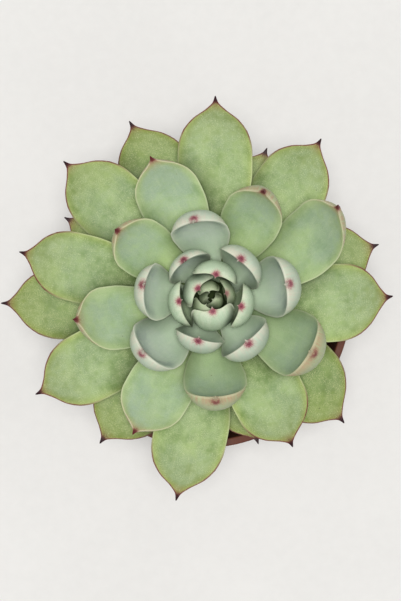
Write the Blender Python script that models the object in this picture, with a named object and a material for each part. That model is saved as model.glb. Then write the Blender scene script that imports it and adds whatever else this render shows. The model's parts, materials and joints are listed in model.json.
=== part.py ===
"""A potted echeveria: forty-two fleshy leaves in a spiral rosette on a short stem, which
stands in the soil of a round, thin-walled nursery pot.

Metres, +Z up. The origin is the centre of the pot's underside, which is flat. The rosette's
axis stands a little off the pot's axis, as a plant pushed in by hand does.

Every leaf is a patch of a surface turned around the rosette's axis. Its midrib leaves the
stem at a base angle and curls up to a tip angle, and an older leaf always lies flatter than
a younger one, so the midribs nest inside each other and the leaves never meet.
"""

import math

import bmesh
import bpy
from mathutils import Matrix, Vector

MM = 0.001
CLEARANCE = 0.3 * MM

# Pot
POT_HEIGHT = 80 * MM
RIM_DIAMETER = 90 * MM
BASE_DIAMETER = 64 * MM
WALL = 1.2 * MM
FLOOR = 1.8 * MM
BAND_HEIGHT = 13 * MM
BAND_STEP = 1.1 * MM
POT_SIDES = 48
DRAIN_HOLES = 6
DRAIN_DIAMETER = 7 * MM
DRAIN_CIRCLE = 42 * MM

# Soil
HEADSPACE = 10 * MM
SOIL_CROWN = 2.5 * MM

# Stem
AXIS_X = 1.4 * MM
AXIS_Y = 1.1 * MM
STEM_DIAMETER = 12.4 * MM
STEM_BURIED = 14 * MM
APEX_HEIGHT = 5 * MM
LOWEST_LEAF_ABOVE_RIM = 3.0 * MM
STEM_SIDES = 24

# Rosette. Leaf number 0 is the youngest on the side of the stem. The ones below zero crowd
# its rounded top, down to the last, number YOUNGEST.
OLDEST = 28
YOUNGEST = -13
GOLDEN_ANGLE = 137.5
FIRST_AZIMUTH = 174.0
LEAF_THICKNESS = 6.0 * MM
MARGIN_THICKNESS = 0.45 * MM
LEAF_SPACING = LEAF_THICKNESS / 8  # height up the stem from one leaf to the next
MIDRIB_STEPS = 60

# Each leaf's number, its turn off the spiral and the sideways swing of its tip in degrees, its
# length and half its width in mm, and the angle its tip curls up to.
LEAVES = (
    (28, 5, 0, 42.5, 9.8, 12),
    (27, 2, 0, 40.5, 9.8, 13),
    (26, 2, 0, 44.0, 9.8, 14),
    (25, 6, 0, 47.5, 11.0, 20),
    (24, -2, 1, 49.0, 11.9, 22),
    (23, 14, 4, 52.5, 11.2, 24),
    (22, 3, -5, 49.5, 12.1, 26),
    (21, 1, -1, 57.0, 11.0, 28),
    (20, 8, 3, 53.0, 11.2, 33),
    (19, -3, -3, 56.5, 11.2, 34),
    (18, 8, 0, 55.0, 11.1, 36),
    (17, 4, 5, 50.0, 11.8, 37),
    (16, -3, -2, 55.0, 10.8, 38),
    (15, 10.4, 1.6, 56.0, 11.2, 40),
    (14, 3, -3, 47.0, 11.1, 42),
    (13, 6, -1, 55.0, 10.2, 43),
    (12, 1, 11, 50.0, 9.9, 74),
    (11, -5, -1, 44.0, 10.0, 47),
    (10, 1, 3, 43.2, 9.8, 48),
    (9, 0, 0, 44.5, 9.8, 104),
    (8, 0, -5, 40.6, 9.5, 56),
    (7, 5, 2, 39.0, 8.9, 76),
    (6, -6, 0, 40.0, 9.2, 102),
    (5, 1, 2, 35.2, 8.6, 60),
    (4, 5, 1, 32.0, 9.0, 108),
    (3, -2, -6, 33.0, 8.7, 94),
    (2, 6, 8, 31.5, 8.3, 100),
    (1, 0, -2, 27.6, 8.2, 121),
    (0, 4, -10, 26.5, 8.1, 96),
    (-1, 4, 13, 22.0, 7.8, 119),
    (-2, -3, -2, 22.1, 7.3, 123),
    (-3, 2, 2, 17.8, 7.0, 100),
    (-4, 0, 0, 18.2, 7.0, 133),
    (-5, -6, -16, 17.3, 7.1, 126),
    (-6, 7, 0, 18.0, 7.0, 139),
    (-7, -11, 0, 18.5, 6.9, 158),
    (-8, -11, 0, 15.5, 6.4, 146),
    (-9, -2, 0, 13.7, 5.0, 129),
    (-10, 0, 0, 11.5, 4.0, 145),
    (-11, 0, 0, 10.5, 3.3, 145),
    (-12, 0, 0, 9.6, 2.7, 146),
    (-13, 0, 0, 8.4, 2.3, 138),
)

# Along a leaf from its foot, 0, to its tip, 1: half its width and its thickness, as shares
# of the largest, and the places of the rings of its mesh.
WIDTH_ALONG = (
    (0.0, 0.33), (0.2, 0.54), (0.45, 0.90), (0.60, 1.0),
    (0.72, 0.98), (0.80, 0.87), (0.865, 0.62), (0.92, 0.25), (0.96, 0.07), (1.0, 0.01),
)
THICKNESS_ALONG = (
    (0.0, 0.42), (0.2, 0.64), (0.45, 0.95), (0.6, 1.0), (0.74, 0.94), (0.85, 0.72), (0.92, 0.38), (1.0, 0.08),
)
RINGS_ALONG = (0.0, 0.15, 0.32, 0.47, 0.60, 0.71, 0.80, 0.87, 0.92, 0.96)
UPPER_ACROSS = (-1.0, -0.55, 0.0, 0.55, 1.0)
LOWER_ACROSS = (0.88, 0.45, 0.0, -0.45, -0.88)

# By leaf number: the angle of the foot, and the thickness as a share of LEAF_THICKNESS.
FOOT_ANGLE = ((-13, 82), (-8, 62), (-4, 50), (0, 40), (5, 28), (10, 17), (15, 9), (20, 4), (28, 0))
THICKNESS_BY_AGE = (
    (-13, 0.18), (-9, 0.26), (-8, 0.30), (-7, 0.38), (-3, 0.50),
    (0, 0.70), (4, 0.88), (9, 1.0), (15, 0.85), (28, 0.75),
)
CURL_EXPONENT = 1.5


def between(points, x):
    """The height at x of the straight runs through the points."""
    for (x0, y0), (x1, y1) in zip(points, points[1:]):
        if x <= x1:
            return y0 + (y1 - y0) * max(0.0, x - x0) / (x1 - x0)
    return points[-1][1]


def material(name, colour, roughness):
    made = bpy.data.materials.new(name)
    made.use_nodes = True
    shader = made.node_tree.nodes["Principled BSDF"]
    shader.inputs["Base Color"].default_value = (*colour, 1.0)
    shader.inputs["Roughness"].default_value = roughness
    shader.inputs["Metallic"].default_value = 0.0
    made.diffuse_color = (*colour, 1.0)
    return made


def add_object(name, mesh, finish, sharp_angle):
    mesh.materials.append(finish)
    made = bpy.data.objects.new(name, mesh)
    bpy.context.scene.collection.objects.link(made)
    mesh.shade_smooth()
    mesh.set_sharp_from_angle(angle=math.radians(sharp_angle))
    return made


def turned(name, profile, sides):
    """A closed mesh turned around Z from (radius, height) points, which run from the lowest
    point of the outside up and round to the inside. An end that stops short of the axis is
    closed with one flat face."""
    made = bmesh.new()
    rings = []
    for radius, height in profile:
        if radius == 0.0:
            rings.append([made.verts.new((0.0, 0.0, height))])
            continue
        turns = [math.tau * i / sides for i in range(sides)]
        rings.append([made.verts.new(around(turn, radius, height)) for turn in turns])
    for low, high in zip(rings, rings[1:]):
        for i in range(sides):
            j = (i + 1) % sides
            corners = [low[i % len(low)], low[j % len(low)], high[j % len(high)], high[i % len(high)]]
            made.faces.new(list(dict.fromkeys(corners)))
    if len(rings[0]) > 1:
        made.faces.new(list(reversed(rings[0])))
    if len(rings[-1]) > 1:
        made.faces.new(rings[-1])
    return finished(made, name)


def around(azimuth, radius, height):
    return (radius * math.cos(azimuth), radius * math.sin(azimuth), height)


def finished(made, name):
    mesh = bpy.data.meshes.new(name)
    made.to_mesh(mesh)
    made.free()
    return mesh


def add_cutter(name, mesh):
    cutter = bpy.data.objects.new(name, mesh)
    bpy.context.scene.collection.objects.link(cutter)
    cutter.hide_render = True
    cutter.display_type = "WIRE"
    return cutter


def cut_with(solid, cutter):
    cut = solid.modifiers.new(cutter.name, "BOOLEAN")
    cut.operation = "DIFFERENCE"
    cut.object = cutter


# Pot

def pot_outside(height):
    """The radius of the pot's outer wall below its rim band."""
    top = RIM_DIAMETER / 2 - BAND_STEP
    return BASE_DIAMETER / 2 + (top - BASE_DIAMETER / 2) * height / POT_HEIGHT


def pot_inside(height):
    return pot_outside(height) - WALL


def make_pot():
    band_foot = POT_HEIGHT - BAND_HEIGHT
    rim = RIM_DIAMETER / 2
    edge = 0.4 * WALL
    profile = (
        (BASE_DIAMETER / 2 - edge, 0.0),
        (BASE_DIAMETER / 2, edge),
        (pot_outside(band_foot), band_foot),
        (rim - edge, band_foot),
        (rim, band_foot + edge),
        (rim, POT_HEIGHT - edge),
        (rim - edge, POT_HEIGHT),
        (pot_inside(POT_HEIGHT) + edge, POT_HEIGHT),
        (pot_inside(POT_HEIGHT), POT_HEIGHT - edge),
        (pot_inside(FLOOR), FLOOR),
    )
    finish = material("pot_plastic", (0.19, 0.085, 0.05), 0.55)
    pot = add_object("pot", turned("pot", profile, POT_SIDES), finish, 35)
    cut_with(pot, add_cutter("drain_drills", drain_drills()))
    return pot


def drain_drills():
    """The ring of straight drills that open the drain holes in the floor."""
    made = bmesh.new()
    radius = DRAIN_DIAMETER / 2
    for i in range(DRAIN_HOLES):
        place = Vector(around(math.tau * (i + 0.5) / DRAIN_HOLES, DRAIN_CIRCLE / 2, 0.0))
        bmesh.ops.create_cone(
            made, cap_ends=True, segments=16, radius1=radius, radius2=radius, depth=4 * FLOOR,
            matrix=Matrix.Translation(place),
        )
    return finished(made, "drain_drills")


# Stem and soil

def soil_level():
    return POT_HEIGHT - HEADSPACE


def lowest_leaf_height():
    return POT_HEIGHT + LOWEST_LEAF_ABOVE_RIM


def shoulder_height():
    """Where the side of the stem turns into its rounded top."""
    return lowest_leaf_height() + LEAF_SPACING * OLDEST


def stem_profile():
    radius = STEM_DIAMETER / 2
    foot = soil_level() - STEM_BURIED
    top = shoulder_height()
    side = [(0.82 * radius, foot), (0.92 * radius, foot + 2 * MM), (radius, foot + 8 * MM)]
    dome = [(radius * share, top + APEX_HEIGHT * (1 - share**2)) for share in (1.0, 0.85, 0.65, 0.4, 0.0)]
    return side + dome


def make_stem():
    finish = material("stem_bark", (0.28, 0.25, 0.13), 0.8)
    stem = add_object("stem", turned("stem", stem_profile(), STEM_SIDES), finish, 40)
    stem.location = (AXIS_X, AXIS_Y, 0.0)
    return stem


def make_soil():
    level = soil_level()
    wall = pot_inside(level) - CLEARANCE
    foot = FLOOR + CLEARANCE
    profile = (
        (pot_inside(foot) - CLEARANCE, foot),
        (wall, level - 0.5 * MM),
        (0.8 * wall, level + 0.3 * SOIL_CROWN),
        (0.5 * wall, level + 0.75 * SOIL_CROWN),
        (0.0, level + SOIL_CROWN),
    )
    finish = material("soil_grit", (0.06, 0.045, 0.03), 0.95)
    soil = add_object("soil", turned("soil", profile, POT_SIDES), finish, 30)
    cut_with(soil, stem_socket())
    return soil


def stem_socket():
    """The cutter that leaves room for the buried end of the stem."""
    radius = STEM_DIAMETER / 2 + CLEARANCE
    foot = soil_level() - STEM_BURIED - CLEARANCE
    profile = ((radius, foot), (radius, POT_HEIGHT))
    socket = add_cutter("stem_socket", turned("stem_socket", profile, STEM_SIDES))
    socket.location = (AXIS_X, AXIS_Y, 0.0)
    return socket


# Leaves

def leaf_foot(number, foot_thickness, foot_angle):
    """Radius and height at which the upper side of a leaf leaves the stem."""
    radius = STEM_DIAMETER / 2 + CLEARANCE
    if number >= 0:
        return radius, lowest_leaf_height() + LEAF_SPACING * (OLDEST - number)
    crowding = 1.5 - YOUNGEST
    share = math.sqrt((number + crowding) / crowding)
    dome = shoulder_height() + APEX_HEIGHT * (1 - share**2)
    return radius * share, dome + CLEARANCE + foot_thickness * math.cos(foot_angle)


def midrib(number, length, tip_angle):
    """The upper side of the midrib from foot to tip: share of the length, radius, height and
    angle at even steps."""
    foot_angle = math.radians(between(FOOT_ANGLE, number))
    curl = math.radians(tip_angle) - foot_angle
    thickness = LEAF_THICKNESS * between(THICKNESS_BY_AGE, number)
    radius, height = leaf_foot(number, thickness * THICKNESS_ALONG[0][1], foot_angle)
    step = length / MIDRIB_STEPS
    points = [(0.0, radius, height, foot_angle)]
    for i in range(MIDRIB_STEPS):
        angle = foot_angle + curl * ((i + 0.5) / MIDRIB_STEPS) ** CURL_EXPONENT
        radius += step * math.cos(angle)
        height += step * math.sin(angle)
        end = (i + 1) / MIDRIB_STEPS
        points.append((end, radius, height, foot_angle + curl * end**CURL_EXPONENT))
    return points, thickness


def midrib_at(points, share):
    for before, after in zip(points, points[1:]):
        if share <= after[0]:
            mix = (share - before[0]) / (after[0] - before[0])
            return [a + (b - a) * mix for a, b in zip(before, after)]
    return list(points[-1])


def leaf_section(points, share, half_width, thickness, swing):
    """The corners around a leaf at a share of its length: the upper side from margin to
    margin, then back along the lower side."""
    _, radius, height, angle = midrib_at(points, share)
    middle = swing * share**2
    spread = half_width * between(WIDTH_ALONG, share) / radius
    depth = thickness * between(THICKNESS_ALONG, share)
    corners = [around(middle + across * spread, radius, height) for across in UPPER_ACROSS]
    for across in LOWER_ACROSS:
        below = max(MARGIN_THICKNESS, depth * (1 - abs(across) ** 2.2))
        out, down = below * math.sin(angle), below * math.cos(angle)
        corners.append(around(middle + across * spread, radius + out, height - down))
    return corners


def make_leaf(number, turn, swing, length, half_width, tip_angle):
    points, thickness = midrib(number, length * MM, tip_angle)
    swing = math.radians(swing)
    made = bmesh.new()
    rings = []
    for share in RINGS_ALONG:
        section = leaf_section(points, share, half_width * MM, thickness, swing)
        rings.append([made.verts.new(corner) for corner in section])
    _, radius, height, _ = points[-1]
    tip = made.verts.new(around(swing, radius, height))
    close_foot(made, rings[0])
    for low, high in zip(rings, rings[1:]):
        for i in range(len(low)):
            j = (i + 1) % len(low)
            made.faces.new((low[i], low[j], high[j], high[i]))
    last = rings[-1]
    for i in range(len(last)):
        made.faces.new((last[i], last[(i + 1) % len(last)], tip))
    bmesh.ops.triangulate(made, faces=made.faces[:])
    bmesh.ops.recalc_face_normals(made, faces=made.faces[:])
    name = f"leaf_{OLDEST + 1 - number:02d}"
    leaf = add_object(name, finished(made, name), leaf_finish(number), 50)
    leaf.location = (AXIS_X, AXIS_Y, 0.0)
    leaf.rotation_euler = (0.0, 0.0, math.radians(FIRST_AZIMUTH + GOLDEN_ANGLE * number + turn))
    return leaf


def close_foot(made, ring):
    """Closes a leaf's foot with narrow faces that follow the round of the stem."""
    across = len(UPPER_ACROSS)
    upper, lower = ring[:across], ring[:across - 1:-1]
    for i in range(across - 1):
        made.faces.new((upper[i], lower[i], lower[i + 1], upper[i + 1]))


def leaf_finish(number):
    """Older leaves are yellow-green, young ones pale blue-green."""
    age = (number - YOUNGEST) / (OLDEST - YOUNGEST)
    young, old = (0.50, 0.62, 0.47), (0.38, 0.49, 0.23)
    colour = [a + (b - a) * age for a, b in zip(young, old)]
    return material(f"leaf_skin_{OLDEST + 1 - number:02d}", colour, 0.5)


def main():
    for leftover in list(bpy.data.objects):
        bpy.data.objects.remove(leftover)
    make_pot()
    make_soil()
    make_stem()
    for leaf in LEAVES:
        make_leaf(*leaf)


main()
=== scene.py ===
"""Looks for the potted echeveria: a thin-walled pot, gritty soil, a scarred stem and forty-two
fleshy leaves, each made as one closed skin around the packed frame.

Lengths are in metres in the frame's own axes. A leaf is a patch of a surface turned around
the rosette's axis, as its solid is, and here it gets its smooth outline, its rounded margin,
its spine and its powdery, blushing skin.
"""

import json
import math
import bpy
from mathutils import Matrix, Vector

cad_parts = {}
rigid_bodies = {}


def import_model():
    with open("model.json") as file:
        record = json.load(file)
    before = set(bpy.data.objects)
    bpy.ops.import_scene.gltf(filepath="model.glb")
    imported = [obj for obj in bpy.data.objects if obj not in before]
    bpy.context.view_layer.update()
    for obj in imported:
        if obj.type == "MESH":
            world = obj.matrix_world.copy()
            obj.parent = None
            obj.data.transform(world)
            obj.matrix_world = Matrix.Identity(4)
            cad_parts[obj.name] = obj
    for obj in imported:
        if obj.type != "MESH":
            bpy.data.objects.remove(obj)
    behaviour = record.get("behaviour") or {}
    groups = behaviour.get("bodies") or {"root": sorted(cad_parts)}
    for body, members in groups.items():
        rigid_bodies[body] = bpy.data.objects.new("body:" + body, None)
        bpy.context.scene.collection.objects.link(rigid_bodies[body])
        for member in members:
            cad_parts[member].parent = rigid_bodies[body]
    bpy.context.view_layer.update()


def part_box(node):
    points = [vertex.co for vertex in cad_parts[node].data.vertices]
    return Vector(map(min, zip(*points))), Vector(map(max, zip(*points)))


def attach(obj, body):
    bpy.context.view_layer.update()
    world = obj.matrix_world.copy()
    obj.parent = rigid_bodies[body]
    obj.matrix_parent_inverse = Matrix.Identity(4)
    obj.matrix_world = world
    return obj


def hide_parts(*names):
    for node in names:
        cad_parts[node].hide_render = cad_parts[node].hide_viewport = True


bl_info = {
    "name": "Potted echeveria",
    "version": (1, 0, 0),
    "blender": (4, 5, 0),
    "location": "View3D > Sidebar > Echeveria",
    "description": "Builds a potted echeveria rosette around its frame",
    "category": "Object",
}

import bmesh
import bpy
import numpy as np
from bpy.props import FloatProperty, FloatVectorProperty, IntProperty, PointerProperty
from mathutils import Matrix, Vector, noise
from mathutils.bvhtree import BVHTree

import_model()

MM = 0.001
ROOT = "root"

POT_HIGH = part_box("pot")[1]
SOIL_LOW, SOIL_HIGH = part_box("soil")
STEM_LOW, STEM_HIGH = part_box("stem")
STEM_X = (STEM_LOW.x + STEM_HIGH.x) / 2
STEM_Y = (STEM_LOW.y + STEM_HIGH.y) / 2
STEM_RADIUS = (STEM_HIGH.x - STEM_LOW.x) / 2

# The rosette as it grows. Leaf number 0 is the youngest on the side of the stem, and the ones
# below zero crowd its rounded top.
OLDEST = 28
YOUNGEST = -13
GOLDEN_ANGLE = 137.5
FIRST_AZIMUTH = 174.0
CLEARANCE = 0.3 * MM
LEAF_THICKNESS = 6.0 * MM
LEAF_SPACING = LEAF_THICKNESS / 8
LOWEST_LEAF_ABOVE_RIM = 3.0 * MM
APEX_HEIGHT = 5.0 * MM
CURL_EXPONENT = 1.5

# Number, turn off the spiral and sideways swing of the tip in degrees, length and half width
# in mm, and the angle the tip curls up to.
LEAVES = (
    (28, 5, 0, 42.5, 9.8, 12),
    (27, 2, 0, 40.5, 9.8, 13),
    (26, 2, 0, 44.0, 9.8, 14),
    (25, 6, 0, 47.5, 11.0, 20),
    (24, -2, 1, 49.0, 11.9, 22),
    (23, 14, 4, 52.5, 11.2, 24),
    (22, 3, -5, 49.5, 12.1, 26),
    (21, 1, -1, 57.0, 11.0, 28),
    (20, 8, 3, 53.0, 11.2, 33),
    (19, -3, -3, 56.5, 11.2, 34),
    (18, 8, 0, 55.0, 11.1, 36),
    (17, 4, 5, 50.0, 11.8, 37),
    (16, -3, -2, 55.0, 10.8, 38),
    (15, 10.4, 1.6, 56.0, 11.2, 40),
    (14, 3, -3, 47.0, 11.1, 42),
    (13, 6, -1, 55.0, 10.2, 43),
    (12, 1, 11, 50.0, 9.9, 74),
    (11, -5, -1, 44.0, 10.0, 47),
    (10, 1, 3, 43.2, 9.8, 48),
    (9, 0, 0, 44.5, 9.8, 104),
    (8, 0, -5, 40.6, 9.5, 56),
    (7, 5, 2, 39.0, 8.9, 76),
    (6, -6, 0, 40.0, 9.2, 102),
    (5, 1, 2, 35.2, 8.6, 60),
    (4, 5, 1, 32.0, 9.0, 108),
    (3, -2, -6, 33.0, 8.7, 94),
    (2, 6, 8, 31.5, 8.3, 100),
    (1, 0, -2, 27.6, 8.2, 121),
    (0, 4, -10, 26.5, 8.1, 96),
    (-1, 4, 13, 22.0, 7.8, 119),
    (-2, -3, -2, 22.1, 7.3, 123),
    (-3, 2, 2, 17.8, 7.0, 100),
    (-4, 0, 0, 18.2, 7.0, 133),
    (-5, -6, -16, 17.3, 7.1, 126),
    (-6, 7, 0, 18.0, 7.0, 139),
    (-7, -11, 0, 18.5, 6.9, 158),
    (-8, -11, 0, 15.5, 6.4, 146),
    (-9, -2, 0, 13.7, 5.0, 129),
    (-10, 0, 0, 11.5, 4.0, 145),
    (-11, 0, 0, 10.5, 3.3, 145),
    (-12, 0, 0, 9.6, 2.7, 146),
    (-13, 0, 0, 8.4, 2.3, 138),
)

# The oldest and the youngest leaf of each finish.
OUTER_LEAVES = (OLDEST, 21)
GROWN_LEAVES = (20, 13)
MIDDLE_LEAVES = (12, 5)
YOUNG_LEAVES = (4, -3)
BUD_LEAVES = (-4, YOUNGEST)

# Along a leaf from its foot, 0, to its tip, 1, as shares of the largest.
WIDTH_ALONG = (
    (0.0, 0.33), (0.2, 0.54), (0.45, 0.90), (0.60, 1.0),
    (0.72, 0.98), (0.80, 0.87), (0.865, 0.62), (0.92, 0.25), (0.96, 0.07), (1.0, 0.01),
)
THICKNESS_ALONG = (
    (0.0, 0.42), (0.2, 0.64), (0.45, 0.95), (0.6, 1.0),
    (0.74, 0.94), (0.85, 0.72), (0.92, 0.38), (1.0, 0.08),
)
FOOT_ANGLE = ((-13, 82), (-8, 62), (-4, 50), (0, 40), (5, 28), (10, 17), (15, 9), (20, 4), (28, 0))
THICKNESS_BY_AGE = (
    (-13, 0.18), (-9, 0.26), (-8, 0.30), (-7, 0.38), (-3, 0.50),
    (0, 0.70), (4, 0.88), (9, 1.0), (15, 0.85), (28, 0.75),
)


def shade(red, green, blue):
    """A display colour, 0 to 255, as scene-linear values."""
    return tuple(
        c / 3294.6 if c <= 10 else ((c / 255 + 0.055) / 1.055) ** 2.4 for c in (red, green, blue)
    )


def colour(name, description, red, green, blue):
    return FloatVectorProperty(
        name=name, description=description, subtype="COLOR", size=3, min=0.0, max=1.0,
        default=shade(red, green, blue),
    )


def length(name, description, millimetres):
    return FloatProperty(
        name=name, description=description, default=millimetres * MM, min=0.0,
        unit="LENGTH", subtype="DISTANCE", precision=4,
    )


def share(name, description, default):
    return FloatProperty(
        name=name, description=description, default=default, min=0.0, max=2.0, subtype="FACTOR"
    )


class PotSettings(bpy.types.PropertyGroup):
    wall: length("Wall", "Thickness of the wall", 1.2)
    floor: length("Floor", "Thickness of the floor", 1.8)
    band: length("Rim band", "Height of the band around the rim", 13)
    step: length("Band step", "How far the band stands out from the wall", 1.1)
    base: length("Base", "Diameter of the underside", 64)
    hole: length("Drain hole", "Diameter of a drain hole", 7)
    hole_circle: length("Hole circle", "Diameter of the circle the drain holes lie on", 42)
    holes: IntProperty(name="Holes", description="Number of drain holes", default=6, min=1)
    plastic: colour("Plastic", "Moulded plastic of the pot", 88, 48, 36)
    worn: colour("Worn edge", "Where the rim has rubbed pale", 100, 56, 42)
    grime: colour("Grime", "Dried dirt on the inside of the wall", 62, 42, 32)


class SoilSettings(bpy.types.PropertyGroup):
    crown: length("Crown", "How far the soil rises towards the stem", 2.5)
    lump: length("Lumps", "Height of the lumps of the mix", 0.9)
    grains: IntProperty(name="Grains", description="Number of loose grains on top", default=420, min=0)
    dark: colour("Mix", "Damp potting mix", 52, 40, 31)
    dry: colour("Dry mix", "Dry crumbs of the mix", 104, 84, 64)
    grit: colour("Grit", "Pale grains of grit", 196, 188, 172)
    lava: colour("Lava", "Dark red grains of lava", 108, 66, 52)
    bark: colour("Bark", "Bark of the stem", 138, 128, 88)
    scar: colour("Scars", "Scars of fallen leaves", 88, 74, 48)
    growing: colour("Growing tip", "Rounded top of the stem, under the bud", 46, 58, 28)


class LeafShape(bpy.types.PropertyGroup):
    round_margin: length("Round margin", "How far the margin's crest is rounded off", 0.16)
    channel: length("Channel", "How far the middle of the upper side lies below its margins", 0.45)
    ripple: length("Ripple", "Height of the slow ripples of the upper side", 0.16)
    spine: share("Spine", "Where a curled leaf's spine starts, as a share of its length", 0.925)
    spine_length: length("Spine length", "Length of a spread leaf's spine", 1.5)
    # Reach of the painted shade that darkens a leaf under another leaf close over it.
    contact_shade_reach: length("Crowding reach", "How near a leaf tints the outermost leaf below it", 9.5)


# What the finish of a leaf is made of: each part, its name and where it lies.
LEAF_COLOURS = (
    ("body", "Body", "Skin in the middle of the leaf"),
    ("deep", "Deep", "Darker patches of the skin"),
    # The foot colour is partly the leaf's own darker green and partly painted shade under the leaves
    # above.
    ("foot", "Foot", "Skin towards the foot of the leaf"),
    ("ripe", "Ripe", "Skin towards the tip"),
    ("bloom", "Bloom", "Powder over the middle of the upper side"),
    # The smudge colour is both where the powder has been rubbed off and the painted shade in the hollow of
    # a curled leaf.
    ("smudge", "Smudge", "Where the powder has been rubbed off"),
    ("edge", "Edge", "Band beside the margin"),
    # The ridge colour serves the pale specks and streaks, and on the crest partly the margin's own pale
    # tone and partly painted highlight.
    ("ridge", "Ridge", "Crest of the margin, and the pale specks"),
    ("back", "Back", "Skin of the under side"),
    ("blush", "Blush", "Flush along the crest on the under side"),
    ("line", "Line", "Thin line along the margin near the tip"),
    ("spot", "Spot", "Patch around the foot of the spine"),
    ("point", "Point", "End of the spine"),
    # Shaded is the colour of the painted shade where another leaf lies close over the skin.
    ("shaded", "Shaded", "What tints the skin where another leaf lies close over it"),
)
LEAF_AMOUNTS = (
    ("blooming", "Bloom amount", "How much powder there is"),
    ("blushing", "Blush amount", "How strong the flush is"),
    ("lined", "Line amount", "How strong the line along the margin is"),
    ("specks", "Specks", "How many pale specks there are"),
    # How strong the painted shade under a close leaf is.
    ("crowding", "Crowding", "How strong the tint under a close leaf is"),
)


def leaf_settings(name, about, spot_size, **values):
    """A group of settings for the finish of the leaves of one age."""
    fields = {key: colour(label, text, *values[key]) for key, label, text in LEAF_COLOURS}
    fields.update((key, share(label, text, values[key])) for key, label, text in LEAF_AMOUNTS)
    fields["spot_size"] = length("Spot size", "Reach of the patch around the spine", spot_size)
    return type(name, (bpy.types.PropertyGroup,), {"__doc__": about, "__annotations__": fields})


OuterFinish = leaf_settings(
    "OuterFinish", "Finish of the oldest leaves", 1.5,
    body=(132, 156, 80), deep=(94, 122, 54), foot=(84, 108, 50), ripe=(152, 162, 92),
    bloom=(172, 192, 144), smudge=(128, 150, 108), edge=(158, 168, 88), ridge=(198, 204, 148),
    back=(118, 132, 82), blush=(142, 112, 72), line=(112, 58, 52), spot=(96, 40, 46),
    point=(44, 22, 30), shaded=(52, 64, 30),
    blooming=0.45, blushing=0.5, lined=1.0, specks=1.1, crowding=1.0,
)

GrownFinish = leaf_settings(
    "GrownFinish", "Finish of the full-grown leaves", 1.5,
    body=(174, 196, 130), deep=(124, 150, 84), foot=(104, 130, 68), ripe=(140, 149, 80),
    bloom=(172, 194, 160), smudge=(132, 156, 118), edge=(176, 190, 112), ridge=(208, 216, 166),
    back=(142, 158, 108), blush=(158, 126, 82), line=(118, 60, 52), spot=(104, 42, 48),
    point=(50, 24, 32), shaded=(58, 74, 36),
    blooming=0.5, blushing=0.5, lined=1.0, specks=0.85, crowding=1.0,
)

MiddleFinish = leaf_settings(
    "MiddleFinish", "Finish of the leaves half way in", 1.4,
    body=(182, 205, 150), deep=(140, 168, 114), foot=(184, 206, 144), ripe=(164, 180, 126),
    bloom=(172, 194, 166), smudge=(154, 176, 156), edge=(190, 208, 156), ridge=(218, 226, 186),
    back=(174, 184, 148), blush=(186, 152, 122), line=(172, 112, 92), spot=(138, 58, 60),
    point=(98, 36, 44), shaded=(72, 92, 56),
    blooming=0.85, blushing=0.8, lined=0.15, specks=0.35, crowding=0.75,
)

YoungFinish = leaf_settings(
    "YoungFinish", "Finish of the young leaves, cupped around the bud", 1.35,
    body=(204, 222, 190), deep=(178, 200, 172), foot=(192, 214, 176), ripe=(204, 218, 192),
    bloom=(200, 214, 200), smudge=(130, 146, 144), edge=(212, 224, 198), ridge=(240, 240, 222),
    back=(182, 198, 178), blush=(212, 200, 184), line=(206, 150, 140), spot=(160, 62, 88),
    point=(92, 26, 48), shaded=(62, 80, 60),
    blooming=1.0, blushing=0.5, lined=0.0, specks=0.12, crowding=0.75,
)

BudFinish = leaf_settings(
    "BudFinish", "Finish of the closed bud", 1.25,
    body=(198, 216, 184), deep=(148, 164, 112), foot=(140, 158, 108), ripe=(188, 208, 178),
    bloom=(192, 214, 190), smudge=(150, 172, 146), edge=(200, 218, 178), ridge=(232, 236, 214),
    back=(190, 211, 182), blush=(212, 214, 194), line=(226, 220, 198), spot=(168, 66, 94),
    point=(104, 30, 54), shaded=(56, 72, 48),
    blooming=0.7, blushing=0.5, lined=0.0, specks=0.0, crowding=0.9,
)


class StageSettings(bpy.types.PropertyGroup):
    floor: colour("Floor", "Pale floor under the pot", 238, 237, 235)
    sky: share("Fill", "Brightness of the light from all around", 0.38)
    top_light: share("Top light", "Brightness of the wide lamp overhead", 0.855)
    height: length("Camera height", "Height of the camera above the floor", 580)
    lens: FloatProperty(name="Lens", description="Focal length in mm", default=97.51, min=10)


# Curves and small helpers

def straight(points, x):
    xs, ys = zip(*points)
    return np.interp(x, xs, ys)


def flowing(points, x):
    """Heights at x of a smooth curve through the points that never overshoots them."""
    xs, ys = (np.array(v, float) for v in zip(*points))
    gaps = np.diff(xs)
    slopes = np.diff(ys) / gaps
    lean = np.zeros(len(xs))
    lean[0], lean[-1] = slopes[0], slopes[-1]
    before, after = slopes[:-1], slopes[1:]
    same = before * after > 0
    w1, w2 = 2 * gaps[1:] + gaps[:-1], gaps[1:] + 2 * gaps[:-1]
    safe_before = np.where(same, before, 1.0)
    safe_after = np.where(same, after, 1.0)
    lean[1:-1] = np.where(same, (w1 + w2) / (w1 / safe_before + w2 / safe_after), 0.0)
    x = np.clip(np.asarray(x, float), xs[0], xs[-1])
    i = np.clip(np.searchsorted(xs, x, side="right") - 1, 0, len(gaps) - 1)
    t = (x - xs[i]) / gaps[i]
    h = gaps[i]
    return (
        (1 + 2 * t) * (1 - t) ** 2 * ys[i] + t * (1 - t) ** 2 * h * lean[i]
        + t * t * (3 - 2 * t) * ys[i + 1] + t * t * (t - 1) * h * lean[i + 1]
    )


def ramp(x, low, high):
    t = np.clip((np.asarray(x, float) - low) / (high - low), 0.0, 1.0)
    return t * t * (3 - 2 * t)


def paint(mesh, **layers):
    """Stores each layer on the mesh's vertices."""
    for name, values in layers.items():
        values = np.ascontiguousarray(values, np.float32)
        kind = "FLOAT_VECTOR" if values.ndim == 2 else "FLOAT"
        layer = mesh.attributes.new(name, kind, "POINT")
        layer.data.foreach_set("vector" if values.ndim == 2 else "value", values.ravel())


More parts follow.
